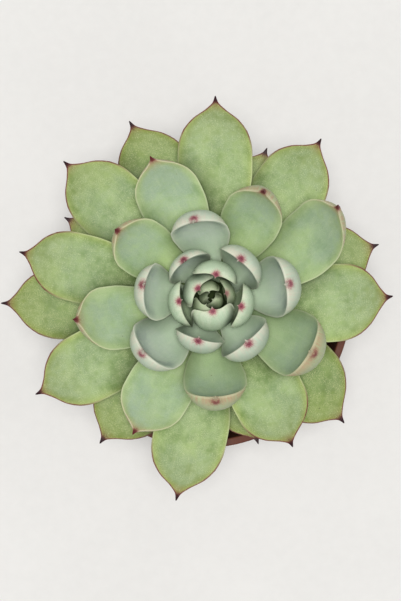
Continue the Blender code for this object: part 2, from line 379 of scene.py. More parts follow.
def finished_mesh(made, name):
    """The mesh of a bmesh that needs no more work."""
    mesh = bpy.data.meshes.new(name)
    made.to_mesh(mesh)
    made.free()
    return mesh


def add_object(name, data):
    made = bpy.data.objects.new(name, data)
    bpy.context.scene.collection.objects.link(made)
    return made


def add_piece(name, mesh, material, nodes):
    """A finished piece: smooth, in its finish, standing for its nodes and riding the frame."""
    mesh.materials.append(material)
    mesh.shade_smooth()
    piece = add_object(name, mesh)
    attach(piece, ROOT)
    if nodes:
        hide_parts(*nodes)


def lathe(name, profile, sides, centre=(0.0, 0.0)):
    """A closed mesh turned around Z from (radius, height) points."""
    made = bmesh.new()
    rings = []
    turns = np.arange(sides) * math.tau / sides
    for radius, height in profile:
        if radius == 0.0:
            rings.append([made.verts.new((centre[0], centre[1], height))])
            continue
        rings.append([
            made.verts.new((centre[0] + radius * math.cos(t), centre[1] + radius * math.sin(t), height))
            for t in turns
        ])
    for low, high in zip(rings, rings[1:]):
        for i in range(sides):
            j = (i + 1) % sides
            corners = [low[i % len(low)], low[j % len(low)], high[j % len(high)], high[i % len(high)]]
            made.faces.new(list(dict.fromkeys(corners)))
    if len(rings[0]) > 1:
        made.faces.new(list(reversed(rings[0])))
    if len(rings[-1]) > 1:
        made.faces.new(rings[-1])
    bmesh.ops.recalc_face_normals(made, faces=made.faces[:])
    return finished_mesh(made, name)


def rounded(corners, radius, steps=5):
    """The profile with each inner corner turned into an arc of about this radius."""
    out = [corners[0]]
    for before, here, after in zip(corners, corners[1:], corners[2:]):
        here = Vector(here)
        back, on = Vector(before) - here, Vector(after) - here
        reach = min(radius, back.length * 0.45, on.length * 0.45)
        start, end = here + back.normalized() * reach, here + on.normalized() * reach
        for i in range(steps + 1):
            t = i / steps
            point = start * (1 - t) ** 2 + here * 2 * t * (1 - t) + end * t * t
            out.append((point.x, point.y))
    out.append(corners[-1])
    return out


# Materials

class Finish:
    """A material whose nodes are laid out by short calls."""

    def __init__(self, name):
        self.material = bpy.data.materials.new(name)
        self.material.use_nodes = True
        self.tree = self.material.node_tree
        self.skin = self.tree.nodes["Principled BSDF"]

    def node(self, kind, **settings):
        made = self.tree.nodes.new(kind)
        for key, value in settings.items():
            setattr(made, key, value)
        return made

    def put(self, socket, value):
        """A link where value is a socket, and otherwise the socket's own value."""
        if isinstance(value, bpy.types.NodeSocket):
            self.tree.links.new(value, socket)
        elif hasattr(value, "__len__"):
            parts = tuple(value)
            opaque = (1.0,) if len(socket.default_value) > len(parts) else ()
            socket.default_value = parts + opaque
        else:
            socket.default_value = value

    def value(self, name):
        return self.node("ShaderNodeAttribute", attribute_name=name).outputs["Fac"]

    def vector(self, name):
        return self.node("ShaderNodeAttribute", attribute_name=name).outputs["Vector"]

    def place(self):
        return self.node("ShaderNodeTexCoord").outputs["Object"]

    def sum(self, operation, first, second=0.0, third=0.0):
        made = self.node("ShaderNodeMath", operation=operation)
        for socket, value in zip(made.inputs, (first, second, third)):
            self.put(socket, value)
        return made.outputs[0]

    def times(self, *values):
        total = values[0]
        for value in values[1:]:
            total = self.sum("MULTIPLY", total, value)
        return total

    def ramp(self, value, low, high, to_low=0.0, to_high=1.0):
        made = self.node("ShaderNodeMapRange", interpolation_type="SMOOTHSTEP")
        for socket, part in zip(made.inputs, (value, low, high, to_low, to_high)):
            self.put(socket, part)
        return made.outputs[0]

    def blend(self, amount, first, second, mode="MIX"):
        made = self.node("ShaderNodeMix", data_type="RGBA", blend_type=mode, clamp_factor=True)
        for name, value in (("Factor_Float", amount), ("A_Color", first), ("B_Color", second)):
            self.put(next(s for s in made.inputs if s.identifier == name), value)
        return next(s for s in made.outputs if s.identifier == "Result_Color")

    def stretched(self, vector, x, y, z):
        made = self.node("ShaderNodeMapping")
        self.put(made.inputs["Vector"], vector)
        self.put(made.inputs["Scale"], (x, y, z))
        return made.outputs[0]

    def noise(self, vector, scale, detail=2.0, roughness=0.5):
        made = self.node("ShaderNodeTexNoise")
        self.put(made.inputs["Vector"], vector)
        self.put(made.inputs["Scale"], scale)
        self.put(made.inputs["Detail"], detail)
        self.put(made.inputs["Roughness"], roughness)
        return made.outputs["Fac"]

    def dots(self, vector, scale, randomness=1.0):
        made = self.node("ShaderNodeTexVoronoi")
        self.put(made.inputs["Vector"], vector)
        self.put(made.inputs["Scale"], scale)
        self.put(made.inputs["Randomness"], randomness)
        return made.outputs["Distance"]

    def bump(self, height, strength, distance):
        made = self.node("ShaderNodeBump")
        self.put(made.inputs["Height"], height)
        self.put(made.inputs["Strength"], strength)
        self.put(made.inputs["Distance"], distance)
        self.put(self.skin.inputs["Normal"], made.outputs[0])

    def set(self, **sockets):
        for name, value in sockets.items():
            self.put(self.skin.inputs[name.replace("_", " ")], value)


# Scale per mm, detail and roughness of the mottling of a leaf's skin.
BROAD_SWATHES = (0.07, 2.0, 0.5)
RUBBED_PLACES = (0.105, 3.0, 0.55)
CLOUDS = (0.16, 4.0, 0.6)
SPECKLED_FIELDS = (0.2, 2.0, 0.5)
PATCHES = (0.42, 3.0, 0.62)
STREAKS = (1.1, 2.0, 0.6)
FINE_MOTTLE = (3.0, 4.0, 0.8)
RAYS = (4.5, 2.0, 0.75)
STREAK_STRETCH = (1.0, 0.14, 1.0)
# Dots per mm across, which each keep their radius as a share of their spacing.
FRECKLE_SPACING = 0.17
SPECK_SPACING = 0.8
SMALL_SPECK_SPACING = 1.6


class LeafSkin(Finish):
    """Waxy leaf skin, painted in layers. Each layer is laid over the skin so far. Lengths that
    it measures along the leaf are in mm, and along runs from 0 at the foot to 1 at the tip."""

    def __init__(self, name, look):
        super().__init__(name)
        self.look = look
        self.along, self.rim, self.tip = self.value("along"), self.value("rim_mm"), self.value("tip_mm")
        self.under, self.spined = self.value("under"), self.value("spined")
        self.stained = self.value("stained")
        self.flat = self.vector("flat_mm")
        self.broad = self.noise(self.flat, *BROAD_SWATHES)
        self.cloud = self.noise(self.flat, *CLOUDS)
        self.patch = self.noise(self.flat, *PATCHES)
        self.streak = self.noise(self.stretched(self.flat, *STREAK_STRETCH), *STREAKS)
        self.fine = self.noise(self.flat, *FINE_MOTTLE)
        self.upper = self.sum("SUBTRACT", 1.0, self.under)
        before_tip = self.sum("MAXIMUM", self.sum("SUBTRACT", self.tip, 1.3), 0.0)
        self.crest = self.sum("MINIMUM", self.rim, before_tip)
        self.painted = look.body

    def lay(self, colour, *amounts, mode="MIX"):
        """Lays a colour over the skin so far, as strong as the product of the amounts."""
        self.painted = self.blend(self.times(*amounts), self.painted, colour, mode)

    def lay_green(self):
        """Clouded green, darker towards the foot and riper towards the tip."""
        look, along = self.look, self.along
        self.lay(look.deep, self.ramp(self.cloud, 0.64, 0.28))
        # Darker towards the foot: partly the leaf's own green, partly painted shade under the leaves
        # above.
        self.lay(look.foot, self.ramp(along, 0.68, 0.32), self.ramp(self.patch, 0.25, 0.6, 0.9, 0.6))
        self.lay(look.ripe, self.ramp(along, 0.60, 0.98), self.ramp(self.broad, 0.3, 0.6, 0.55, 1.0), 0.85)

    def powder_amount(self):
        """How thick the powder lies over the middle of the upper side."""
        patchy = self.ramp(self.patch, 0.28, 0.66, 0.5, 1.0)
        swathes = self.ramp(self.broad, 0.34, 0.56, 0.35, 1.0)
        middle = self.times(self.ramp(self.rim, 0.8, 4.2), self.ramp(self.along, 0.30, 0.58))
        return self.times(middle, patchy, self.upper, self.look.blooming, swathes)

    def lay_powder(self, powder):
        """The powder, and the places where it has been rubbed off."""
        look = self.look
        self.lay(look.bloom, powder)
        rubbed = self.ramp(self.noise(self.flat, *RUBBED_PLACES), 0.45, 0.62)
        inside = self.times(self.ramp(self.rim, 0.8, 4.2), self.ramp(self.along, 0.45, 0.7))
        self.lay(look.smudge, rubbed, inside, self.upper, look.blooming, 0.55)

    def lay_back_and_hollow(self):
        """The under side, and the powdery hollow inside the crest of a curled leaf."""
        look = self.look
        curled = self.ramp(self.spined, 0.9, 0.3)
        self.lay(look.back, self.under, self.ramp(self.patch, 0.3, 0.7, 0.7, 1.0))
        self.lay(look.bloom, curled, self.upper, 0.35)
        # Painted shade in the hollow inside the crest of a curled leaf, in the smudge colour.
        inside = self.times(self.ramp(self.rim, 6.0, 1.0), self.ramp(self.along, 0.5, 0.8))
        self.lay(look.smudge, inside, self.upper, curled, self.ramp(self.patch, 0.3, 0.65, 0.45, 0.8))

    def lay_flush(self):
        """The band beside the margin, the flush beyond its crest and the haze around the tip."""
        look, along = self.look, self.along
        clouded = self.ramp(self.cloud, 0.25, 0.6, 0.4, 0.85)
        self.lay(look.edge, self.ramp(self.crest, 2.2, 0.2), clouded, 0.75)
        beyond = self.times(self.under, self.ramp(self.crest, 3.2, 0.4), self.ramp(along, 0.4, 0.75))
        shoulders = self.times(self.ramp(self.rim, 1.5, 0.1), self.ramp(along, 0.76, 0.94), 0.8)
        flushed = self.sum("MAXIMUM", beyond, shoulders)
        self.lay(look.blush, flushed, self.ramp(self.streak, 0.36, 0.6, 0.25, 1.0), look.blushing)
        hazy = self.ramp(self.cloud, 0.3, 0.6, 0.35, 0.75)
        self.lay(look.blush, self.ramp(self.tip, 6.5, 1.4), hazy, self.spined, self.upper)
        near_spot = self.times(self.under, self.ramp(self.value("spot_mm"), 7.5, 2.0))
        mottle = self.times(self.ramp(self.fine, 0.46, 0.62), self.ramp(self.streak, 0.36, 0.56))
        self.lay(look.line, near_spot, mottle, look.blushing, 0.55)

    def lay_mottle(self):
        """Faint streaks along the leaf, fine dark mottling, pale specks and a few dark freckles."""
        look, flat = self.look, self.flat
        self.lay(look.ridge, self.ramp(self.streak, 0.45, 0.8, 0.0, 0.16))
        self.lay(look.deep, self.ramp(self.fine, 0.50, 0.26), 0.5)
        flecks = self.times(self.ramp(self.fine, 0.48, 0.64), self.ramp(self.patch, 0.36, 0.58), 0.75)
        self.lay(look.ridge, flecks, look.specks, self.upper)
        field = self.ramp(self.noise(flat, *SPECKLED_FIELDS), 0.44, 0.6)
        field = self.times(field, self.upper, look.specks)
        large = self.ramp(self.dots(flat, SPECK_SPACING), 0.17, 0.06)
        small = self.ramp(self.dots(flat, SMALL_SPECK_SPACING), 0.2, 0.08)
        self.lay(look.ridge, self.sum("MAXIMUM", large, small), field, 0.6)
        freckles = self.ramp(self.dots(flat, FRECKLE_SPACING), 0.05, 0.025)
        self.lay(look.point, freckles, self.ramp(self.cloud, 0.45, 0.6), self.upper, 0.45)

    def lay_margin(self):
        """The pale crest of the margin and the thin dark line that follows it to the tip."""
        look, along = self.look, self.along
        # Pale line along the crest: partly the margin's own pale tone, partly painted highlight.
        self.lay(look.ridge, self.ramp(self.rim, 0.62, 0.12), self.ramp(along, 0.1, 0.5, 0.5, 1.0), 0.6)
        hair = self.times(self.ramp(self.rim, 0.72, 0.2), self.ramp(along, 0.64, 0.84))
        self.lay(look.line, hair, self.ramp(self.streak, 0.2, 0.5, 0.6, 1.0), look.lined)
        # The innermost leaves darker all over and more towards their feet: partly their own deeper green,
        # partly painted shade deep in the bud.
        self.lay(look.deep, self.value("inmost"), self.ramp(along, 0.95, 0.5, 0.35, 0.75))

    def lay_spine(self):
        """The patch that streaks out around the spine, and the spine's dark point."""
        look, stained = self.look, self.stained
        reach = look.spot_size / MM
        rays = self.sum("SUBTRACT", self.noise(self.vector("away"), *RAYS), 0.5)
        ragged = self.sum("MULTIPLY_ADD", rays, -1.7 * reach, self.value("spot_mm"))
        self.lay(look.spot, self.ramp(ragged, 1.75 * reach, 0.4 * reach), stained, 0.5)
        stain = self.times(self.ramp(ragged, 1.1 * reach, 0.45 * reach), stained)
        self.lay(look.spot, stain, self.ramp(self.fine, 0.3, 0.6, 0.95, 0.7))
        self.lay(look.point, self.ramp(ragged, 0.72 * reach, 0.15 * reach), stained, 0.85)
        self.lay(look.point, self.ramp(self.tip, 2.7, 0.9), stained, self.spined)

    def lay_contact_shade(self):
        """The tint of the skin where another leaf lies close over it."""
        self.lay(self.look.shaded, self.value("crowded"), self.look.crowding, mode="MULTIPLY")


def leaf_finish(name, look):
    skin = LeafSkin(name, look)
    powder = skin.powder_amount()
    skin.lay_green()
    skin.lay_powder(powder)
    skin.lay_back_and_hollow()
    skin.lay_flush()
    skin.lay_mottle()
    skin.lay_margin()
    skin.lay_spine()
    skin.lay_contact_shade()
    rough = skin.sum("ADD", skin.ramp(skin.patch, 0.3, 0.7, 0.48, 0.58), skin.times(powder, 0.14))
    skin.set(Base_Color=skin.painted, Specular_IOR_Level=0.3, Roughness=rough)
    skin.bump(skin.sum("ADD", skin.times(skin.fine, 0.3), skin.patch), 0.4, 0.2 * MM)
    return skin.material


def pot_finish(look):
    """Moulded plastic: faint flow marks, a fine matt grain, rubbed edges and grime inside."""
    f = Finish("pot_plastic")
    place, worn, inside = f.place(), f.value("edge"), f.value("inside")
    flow = f.noise(f.stretched(place, 60, 60, 14), 1.0, 3.0, 0.55)
    grain = f.noise(place, 2600, 2.0)
    cloud = f.noise(place, 70, 4.0, 0.6)
    skin = f.blend(f.ramp(flow, 0.3, 0.7, 0.0, 0.35), look.plastic, look.grime)
    skin = f.blend(f.times(inside, f.ramp(cloud, 0.42, 0.66), 0.7), skin, look.grime)
    skin = f.blend(f.times(worn, f.ramp(cloud, 0.3, 0.6, 0.35, 1.0)), skin, look.worn)
    dust = f.times(f.ramp(f.dots(place, 520), 0.16, 0.07), f.ramp(cloud, 0.5, 0.66), 0.5)
    skin = f.blend(dust, skin, look.worn)
    f.set(Base_Color=skin, Specular_IOR_Level=0.25)
    f.set(Roughness=f.ramp(cloud, 0.3, 0.7, 0.48, 0.66))
    f.bump(f.sum("ADD", f.times(grain, 0.5), cloud), 0.35, 0.12 * MM)
    return f.material


def mix_finish(name, dark, pale, odd, scale, top=None):
    """Crumbly matter in two shades with a sprinkling of a third, and with a top of its own
    colour above a height."""
    f = Finish(name)
    place = f.place()
    coarse, crumb = f.noise(place, scale, 5.0, 0.7), f.noise(place, 5 * scale, 3.0, 0.7)
    skin = f.blend(f.ramp(coarse, 0.42, 0.68), dark, pale)
    skin = f.blend(f.ramp(crumb, 0.62, 0.74, 0.0, 0.8), skin, odd)
    if top:
        split = f.node("ShaderNodeSeparateXYZ")
        f.put(split.inputs[0], place)
        skin = f.blend(f.ramp(split.outputs[2], top[1] - 2 * MM, top[1]), skin, top[0])
    f.set(Base_Color=skin, Roughness=0.92, Specular_IOR_Level=0.2)
    f.bump(f.sum("ADD", coarse, f.times(crumb, 0.5)), 0.8, 0.5 * MM)
    return f.material


def floor_finish(look):
    f = Finish("pale_floor")
    place = f.place()
    cloud = f.noise(place, 9.0, 4.0, 0.6)
    grain = f.noise(place, 260.0, 3.0, 0.6)
    dim = tuple(0.955 * c for c in look.floor)
    mottle = f.sum("ADD", f.times(cloud, 0.7), f.times(grain, 0.3))
    skin = f.blend(f.ramp(mottle, 0.35, 0.65), dim, look.floor)
    f.set(Base_Color=skin, Roughness=0.85, Specular_IOR_Level=0.15)
    f.bump(grain, 0.15, 0.2 * MM)
    return f.material


# Pot

POT_SIDES = 144
HOLE_SIDES = 48
LONGEST_RUN = 4 * MM
MOULD_RADIUS = 0.5 * MM
FOOT_CHAMFER = 1.6 * MM
BEAD_FOOT = 2.0 * MM
BEAD_TOP = 1.2 * MM
BEAD_STAND = 0.12 * MM
RUBBED_FOOT = 0.6
SHARP_ANGLE = math.radians(50)


def wall_radius(pot, height):
    """Outside radius of the tapered wall at a height, or at an array of heights."""
    base = pot.base / 2
    return base + (POT_HIGH.x - pot.step - base) * height / POT_HIGH.z


def pot_profile(pot):
    height, rim, base = POT_HIGH.z, POT_HIGH.x, pot.base / 2
    band = height - pot.band
    outside = [(base - FOOT_CHAMFER, 0.0), (base, 0.0)]
    bead = [
        (wall_radius(pot, band - BEAD_FOOT), band - BEAD_FOOT),
        (wall_radius(pot, band) + BEAD_STAND, band - BEAD_TOP),
    ]
    rim_band = [(wall_radius(pot, band), band), (rim, band), (rim, height)]
    inside = [
        (wall_radius(pot, height) - pot.wall, height),
        (wall_radius(pot, pot.floor) - pot.wall, pot.floor),
        (0.3 * base, pot.floor),
    ]
    return rounded(outside + bead + rim_band + inside, MOULD_RADIUS) + [(0.0, pot.floor)]


def even(profile, step):
    """The same profile with no run longer than step."""
    out = [profile[0]]
    for before, here in zip(profile, profile[1:]):
        count = max(1, math.ceil((Vector(here) - Vector(before)).length / step))
        out += [tuple(Vector(before).lerp(Vector(here), (i + 1) / count)) for i in range(count)]
    return out


def drill_mesh(pot):
    """A ring of upright pegs, one for each drain hole."""
    drills = bmesh.new()
    for i in range(pot.holes):
        turn = math.tau * (i + 0.5) / pot.holes
        place = Vector((math.cos(turn), math.sin(turn), 0.0)) * (pot.hole_circle / 2)
        bmesh.ops.create_cone(
            drills, cap_ends=True, segments=HOLE_SIDES, radius1=pot.hole / 2, radius2=pot.hole / 2,
            depth=6 * pot.floor, matrix=Matrix.Translation(place),
        )
    return finished_mesh(drills, "pot_drills")


def pierced(pot, mesh):
    """The pot's mesh with the drain holes cut through its floor."""
    shell = add_object("pot_blank", mesh)
    drill = add_object("pot_drills", drill_mesh(pot))
    cut = shell.modifiers.new("drain", "BOOLEAN")
    cut.operation, cut.solver, cut.object = "DIFFERENCE", "EXACT", drill
    depsgraph = bpy.context.evaluated_depsgraph_get()
    holed = bpy.data.meshes.new_from_object(shell.evaluated_get(depsgraph))
    bpy.data.objects.remove(shell)
    bpy.data.objects.remove(drill)
    holed.name = "pot_shell"
    holed.materials.clear()
    return holed


def mark_wear(pot, mesh):
    """Marks the rubbed rim and foot, and the inside of the wall."""
    points = np.zeros(len(mesh.vertices) * 3)
    mesh.vertices.foreach_get("co", points)
    points = points.reshape(-1, 3)
    radius, height = np.hypot(points[:, 0], points[:, 1]), points[:, 2]
    inner = (radius < wall_radius(pot, height) - 0.5 * pot.wall) & (height > 0.5 * pot.floor)
    rim = ramp(height, POT_HIGH.z - 0.7 * MM, POT_HIGH.z - 0.1 * MM)
    base = pot.base / 2
    foot = ramp(height, 1.2 * MM, 0.2 * MM) * ramp(radius, base - 1.5 * MM, base) * RUBBED_FOOT
    paint(mesh, edge=np.maximum(rim, foot), inside=inner.astype(float))


def make_pot(scene):
    pot = scene.echeveria_pot
    profile = [(0.0, 0.0)] + even(pot_profile(pot), LONGEST_RUN)
    mesh = pierced(pot, lathe("pot_shell", profile, POT_SIDES))
    mark_wear(pot, mesh)
    add_piece("pot_shell", mesh, pot_finish(pot), ["pot"])
    mesh.set_sharp_from_angle(angle=SHARP_ANGLE)


# Soil and stem

SOIL_SIDES = 180
SOIL_RINGS = 46
STEM_SIDES = 72
STEM_RINGS = 60
SOCKET_LIP = 1.8 * MM
SCAR_SPACING = 1.9 * MM
SCARS_AROUND = 5
SCAR_DEPTH = 0.12 * MM
SCAR_INSET = 0.1 * MM
GROWING_HEIGHT = 4 * MM
# Seed, texture scale and smallest and largest size in mm of each kind of loose grain.
PALE_GRAINS = (11, 700, (0.8, 2.4))
DARK_GRAINS = (12, 500, (0.7, 2.8))
PALE_ONE_IN = 3
MIX_SCALE = 420
BARK_SCALE = 300


def soil_surface(scene, radius):
    """Height of the soil's top at a distance from the pot's axis, before its lumps."""
    crown = scene.echeveria_soil.crown
    level = SOIL_HIGH.z - crown
    return level + crown * (1 - float(ramp(radius / SOIL_HIGH.x, 0.1, 1.0)))


def roughen_soil(mesh, level, socket, height):
    """Raises lumps over the top of the soil, which die out at the wall and the stem."""
    for vertex in mesh.vertices:
        place = vertex.co
        radius = math.hypot(place.x, place.y)
        if place.z < level - 0.6 * MM or radius < socket + 0.3 * MM:
            continue
        lump = noise.fractal(place * 260, 0.8, 2.1, 4) * 0.6 + noise.noise(place * 900) * 0.25
        fade = float(ramp(SOIL_HIGH.x - radius, 0.0, 2 * MM))
        vertex.co.z += height * (lump - 0.35) * fade


def make_soil(scene):
    look = scene.echeveria_soil
    outer, foot = SOIL_HIGH.x, SOIL_LOW.z
    socket = STEM_RADIUS + CLEARANCE + SOCKET_LIP
    socket_foot = STEM_LOW.z - CLEARANCE
    level = SOIL_HIGH.z - look.crown
    base_radius = scene.echeveria_pot.base / 2 - scene.echeveria_pot.wall
    rings = np.linspace(socket, outer - 0.5 * MM, SOIL_RINGS)
    top = [(r, soil_surface(scene, r)) for r in rings]
    side = [(outer - 0.1 * MM, level - 0.8 * MM), (base_radius, foot)]
    profile = [(0.0, socket_foot), (socket, socket_foot)] + top + side + [(0.0, foot)]
    mesh = lathe("soil_mix", profile, SOIL_SIDES)
    roughen_soil(mesh, level, socket, look.lump)
    dark = mix_finish("potting_soil", look.dark, look.dry, look.lava, MIX_SCALE)
    add_piece("soil_mix", mesh, dark, ["soil"])


def make_grains(scene, name, count, kind, shades):
    """Loose angular grains that lie on the soil between the stem and the wall."""
    seed, scale, widths = kind
    material = mix_finish(name.replace("grains", "grit"), *shades, scale)
    chance = np.random.default_rng(seed)
    made = bmesh.new()
    nearest, furthest = 12 * MM, SOIL_HIGH.x - 2.2 * MM
    for _ in range(count):
        radius = math.sqrt(chance.uniform(nearest**2, furthest**2))
        turn = chance.uniform(0, math.tau)
        size = chance.uniform(*widths) * MM
        shares = chance.uniform(0.7, 1.3), chance.uniform(0.7, 1.3), chance.uniform(0.6, 1.0)
        squash = Matrix.Diagonal(Vector(shares) * size).to_4x4()
        lift = soil_surface(scene, radius) + 0.25 * size
        place = Matrix.Translation((radius * math.cos(turn), radius * math.sin(turn), lift))
        angle = chance.uniform(0, math.tau)
        spin = Matrix.Rotation(angle, 4, Vector(chance.normal(size=3)).normalized())
        grain = bmesh.ops.create_icosphere(made, subdivisions=2, radius=0.5)["verts"]
        offset = Vector(chance.uniform(0, 50, 3))
        for vertex in grain:
            vertex.co *= 1 + 0.55 * noise.noise(vertex.co * 2.6 + offset)
        bmesh.ops.transform(made, matrix=place @ spin @ squash, verts=grain)
    add_piece(name, finished_mesh(made, name), material, [])


def make_stem(scene):
    """The short stem, ringed by the scars of the leaves it has dropped."""
    look = scene.echeveria_soil
    foot, top = STEM_LOW.z, STEM_HIGH.z - APEX_HEIGHT
    profile = [(0.0, foot)]
    for t in np.linspace(0.0, 1.0, STEM_RINGS):
        share = 0.84 + 0.13 * float(ramp(t, 0.0, 0.2))
        profile.append((STEM_RADIUS * share, foot + (top - foot) * t))
    for s in (0.9, 0.75, 0.55, 0.3, 0.0):
        profile.append((STEM_RADIUS * s * 0.97, top + APEX_HEIGHT * (1 - s * s) * 0.97))
    mesh = lathe("stem_bark", profile, STEM_SIDES, (STEM_X, STEM_Y))
    for vertex in mesh.vertices:
        place = vertex.co
        out = Vector((place.x - STEM_X, place.y - STEM_Y, 0.0))
        if out.length < 0.5 * STEM_RADIUS or place.z > top:
            continue
        turns = math.atan2(out.y, out.x) / math.tau
        scar = math.sin((place.z / SCAR_SPACING + turns * SCARS_AROUND) * math.tau)
        rough = SCAR_DEPTH * (scar + noise.noise(place * 500))
        vertex.co += out.normalized() * (rough - SCAR_INSET)
    growing = (look.growing, top - GROWING_HEIGHT)
    bark = mix_finish("stem_bark", look.scar, look.bark, look.dry, BARK_SCALE, growing)
    add_piece("stem_bark", mesh, bark, ["stem"])


# Leaves

UPPER_POINTS = 27
ACROSS = np.sin(np.linspace(-math.pi / 2, math.pi / 2, UPPER_POINTS))
# Rings along a leaf lie closer together near its tip.
CLOSE_RINGS_FROM = 0.84
LAST_RING = 0.994
ALONG = np.concatenate([
    np.linspace(0.0, CLOSE_RINGS_FROM, 34, endpoint=False),
    np.linspace(CLOSE_RINGS_FROM, LAST_RING, 30),
])
MIDRIB_STEPS = 300
# The youngest leaf stands this many places of the spiral from the axis.
PLACES_TO_AXIS = 1.5
MARGIN_SWAY = math.radians(0.5)
BROAD_HALF_WIDTH = 10 * MM
TIP_DROP = 0.05 * MM
THINNEST = 0.02 * MM
# Past this share of its length a leaf is no thicker than its own narrowing tip allows.
THINS_FROM = 0.88
THIN_TIP = 0.16 * MM
LARGEST_MISS = 1.6 * MM
# A leaf curled past upright shows its back, with its spine on it. The depths are shares of the
# way from the upper side to the lower one.
UPRIGHT = 90
SPINE_DEPTH = 0.5
CURLED_SPINE_DEPTH = 0.65
CURLED_SPINED = 0.25
# The innermost leaves are the darkest, partly their own deeper green and partly painted shade deep in the
# bud, and only the first of them shows a faint patch.
INMOST_LEAF = -9
INMOST_STAINED = 0.55
LEAF_SEED = 700
# The least cosine at which another leaf lying over the skin darkens it with painted shade, the share
# of the reach within which that shade is full, and how much of the reach is left in the bud.
LEAST_FACING = 0.15
FULLY_SHADED = 0.1
BUD_SHADE_REACH = 0.35
# How far apart the mottling of one leaf and the next is taken, and of a leaf's two sides.
NEXT_LEAF = 37.0
OTHER_SIDE = 11.0


def leaf_foot(number, foot_thickness, foot_angle):
    """Radius and height at which the upper side of a leaf leaves the stem."""
    lowest = POT_HIGH.z + LOWEST_LEAF_ABOVE_RIM
    radius = STEM_RADIUS + CLEARANCE
    if number >= 0:
        return radius, lowest + LEAF_SPACING * (OLDEST - number)
    places = PLACES_TO_AXIS - YOUNGEST
    part = math.sqrt((number + places) / places)
    dome = lowest + LEAF_SPACING * OLDEST + APEX_HEIGHT * (1 - part**2)
    return radius * part, dome + CLEARANCE + foot_thickness * math.cos(foot_angle)


def midrib(number, reach, tip_angle):
    """Shares, radii, heights and angles down the middle of the upper side, and the leaf's
    thickness."""
    foot_angle = math.radians(float(straight(FOOT_ANGLE, number)))
    curl = math.radians(tip_angle) - foot_angle
    thickness = LEAF_THICKNESS * float(straight(THICKNESS_BY_AGE, number))
    radius, height = leaf_foot(number, thickness * THICKNESS_ALONG[0][1], foot_angle)
    ends = np.linspace(0.0, 1.0, MIDRIB_STEPS + 1)
    middles = (ends[:-1] + ends[1:]) / 2
    angles = foot_angle + curl * middles**CURL_EXPONENT
    radii = radius + np.concatenate([[0.0], np.cumsum(np.cos(angles))]) * reach / MIDRIB_STEPS
    heights = height + np.concatenate([[0.0], np.cumsum(np.sin(angles))]) * reach / MIDRIB_STEPS
    return ends, radii, heights, foot_angle + curl * ends**CURL_EXPONENT, thickness


def ripples(chance, along, across):
    """Slow uneven waves, about one high, that die out at the margins and the ends."""
    waves = np.zeros_like(along)
    for _ in range(5):
        u, v = chance.uniform(1.0, 4.5), chance.uniform(0.3, 1.6)
        phase = chance.uniform(0, math.tau, 2)
        waves += np.sin(u * math.pi * along + phase[0]) * np.cos(v * math.pi * across + phase[1])
    return waves / 2.5 * (1 - across**4) * ramp(along, 0.05, 0.3) * ramp(along, 0.93, 0.8)


def leaf_surface(shape, leaf):
    """Corners of a leaf's two sides on a grid of rings along it and points across it, its tip,
    and the layers its finish needs."""
    number, turn, swing, reach, half_width, tip_angle = leaf
    reach, half_width, swing = reach * MM, half_width * MM, math.radians(swing)
    ends, radii, heights, angles, thickness = midrib(number, reach, tip_angle)
    middle = math.radians(FIRST_AZIMUTH + GOLDEN_ANGLE * number + turn)
    chance = np.random.default_rng(LEAF_SEED + number)
    s, a = np.meshgrid(ALONG, ACROSS, indexing="ij")
    radius, height, angle = (np.interp(s, ends, values) for values in (radii, heights, angles))
    width = half_width * flowing(WIDTH_ALONG, s)
    rim = (1 - np.abs(a)) * width

    sway = MARGIN_SWAY * chance.uniform(-1, 1, 2)[0] * np.sin(2.2 * math.pi * s) * np.abs(a)
    azimuth = swing * s**2 + a * width / radius + sway * ramp(s, 0.1, 0.5) * ramp(s, 0.95, 0.8)

    youth = float(ramp(number, 7, 1))
    size = half_width / BROAD_HALF_WIDTH
    sink = shape.channel * size * (1 - a**2) * ramp(s, 0.1, 0.45) * ramp(s, 0.97, 0.8)
    sink = sink + shape.ripple * size * ripples(chance, s, a)
    rounding = np.clip(1 - rim / ((0.45 + youth) * MM), 0, 1) ** 2
    sink = sink + shape.round_margin * (1 + 2.4 * youth) * rounding

    depth = thickness * flowing(THICKNESS_ALONG, s)
    depth = np.minimum(depth, np.where(s > THINS_FROM, 1.5 * width + THIN_TIP, depth))
    below = depth * (1 - np.abs(a) ** (2.2 + 0.3 * youth)) ** (0.92 - 0.06 * youth)
    below = np.maximum(below, sink + THINNEST)

    def placed(drop):
        r, z = radius + drop * np.sin(angle), height - drop * np.cos(angle)
        around = middle + azimuth
        return np.stack([STEM_X + r * np.cos(around), STEM_Y + r * np.sin(around), z], axis=-1)

    tip_radius = radii[-1] + TIP_DROP * math.sin(angles[-1])
    tip = np.array([
        STEM_X + tip_radius * math.cos(middle + swing),
        STEM_Y + tip_radius * math.sin(middle + swing),
        heights[-1] - TIP_DROP * math.cos(angles[-1]),
    ])
    layers = {"along": s, "rim_mm": rim / MM, "flat_x": a * width / MM, "flat_y": s * reach / MM}
    return placed(sink), placed(below), tip, layers


def ringed(upper, lower, at_tip):
    """Values around a leaf ring by ring, over its upper side and back along the inner points of
    its lower one, and then the tip's."""
    rings = np.concatenate([upper, lower[:, -2:0:-1]], axis=1)
    return np.concatenate([rings.reshape(-1, *rings.shape[2:]), [at_tip]])


def leaf_faces(rings, points):
    """Faces over a ring of upper and lower points, closed at the foot and drawn to the tip."""
    around = 2 * points - 2
    faces = []
    for i in range(rings - 1):
        low, high = i * around, (i + 1) * around
        for j in range(around):
            k = (j + 1) % around
            faces.append((low + j, high + j, high + k, low + k))
    last, tip = (rings - 1) * around, rings * around
    faces += [(last + (j + 1) % around, last + j, tip) for j in range(around)]
    for j in range(points - 1):
        back = [(around - j) % around, (around - j - 1) % around]
        corners = (j, j + 1, back[1], back[0])
        faces.append(tuple(dict.fromkeys(corners)))
    return faces


